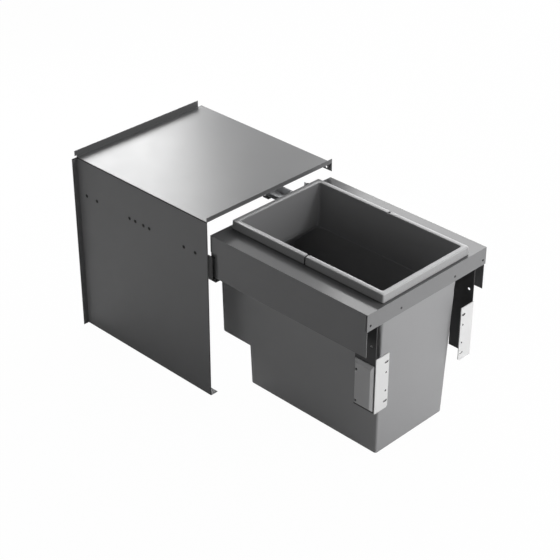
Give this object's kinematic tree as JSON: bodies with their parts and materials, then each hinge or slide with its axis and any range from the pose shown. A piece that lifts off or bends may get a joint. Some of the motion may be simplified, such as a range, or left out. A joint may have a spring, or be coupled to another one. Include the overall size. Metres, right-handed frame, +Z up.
{
  "type": "pull out trash cabinet",
  "caption": "Pull-out trash unit: sheet metal side and top housing, drawer frame on full extension rails, one bin with a clamping rim, slotted door brackets.",
  "frame": {"origin": "on the base plane, under the middle of the whole part with the drawer pulled out", "axes": "+X to the right seen from the front, +Y to the back (the drawer closes along +Y), +Z up"},
  "size_m": [0.395, 0.8654, 0.456],
  "materials": {
    "sheet": "satin anthracite powder coat",
    "dark_bracket": "satin black",
    "zinc": "galvanised",
    "white_bracket": "satin white coating",
    "screw": "black oxide",
    "black_plastic": "matte",
    "bin_plastic": "fine satin grain",
    "rubber": "matte"
  },
  "bodies": {
    "housing": {"side_panel": "sheet", "top_cover": "sheet", "rail_left": "zinc", "rail_right": "zinc", "rail_screws": "screw", "stop_left": "rubber", "stop_right": "rubber", "catch_left": "black_plastic", "catch_right": "black_plastic"},
    "middle_left": {"middle_left": "zinc", "glides_left": "black_plastic"},
    "middle_right": {"middle_right": "zinc", "glides_right": "black_plastic"},
    "drawer": {"drawer_rail_left": "zinc", "drawer_rail_right": "zinc", "side_plate_left": "sheet", "side_plate_right": "sheet", "top_frame": "sheet", "front_brace": "dark_bracket", "rear_member": "dark_bracket", "rear_screws": "screw", "skirt_screws": "screw", "arm_left": "dark_bracket", "arm_right": "dark_bracket", "door_bracket_left": "white_bracket", "door_bracket_right": "white_bracket", "bracket_rivets_left": "screw", "bracket_rivets_right": "screw", "arm_guard": "bin_plastic", "guard_screws": "screw", "bin": "bin_plastic", "clamp_front_frame": "bin_plastic", "clamp_rear_frame": "bin_plastic", "clamp_pins": "zinc", "rear_buffer": "rubber"}
  },
  "joints": [
    {"name": "drawer_slide", "type": "slide", "parent": "housing", "child": "drawer", "axis": [0, 1, 0], "range_m": [0, 0.424]},
    {"name": "middle_left_slide", "type": "slide", "parent": "housing", "child": "middle_left", "axis": [0, 1, 0], "range_m": [0, 0.212]},
    {"name": "middle_right_slide", "type": "slide", "parent": "housing", "child": "middle_right", "axis": [0, 1, 0], "range_m": [0, 0.212]}
  ],
  "couplings": [
    {"joint": "middle_left_slide", "follows": "drawer_slide", "ratio": 0.5},
    {"joint": "middle_right_slide", "follows": "drawer_slide", "ratio": 0.5}
  ]
}
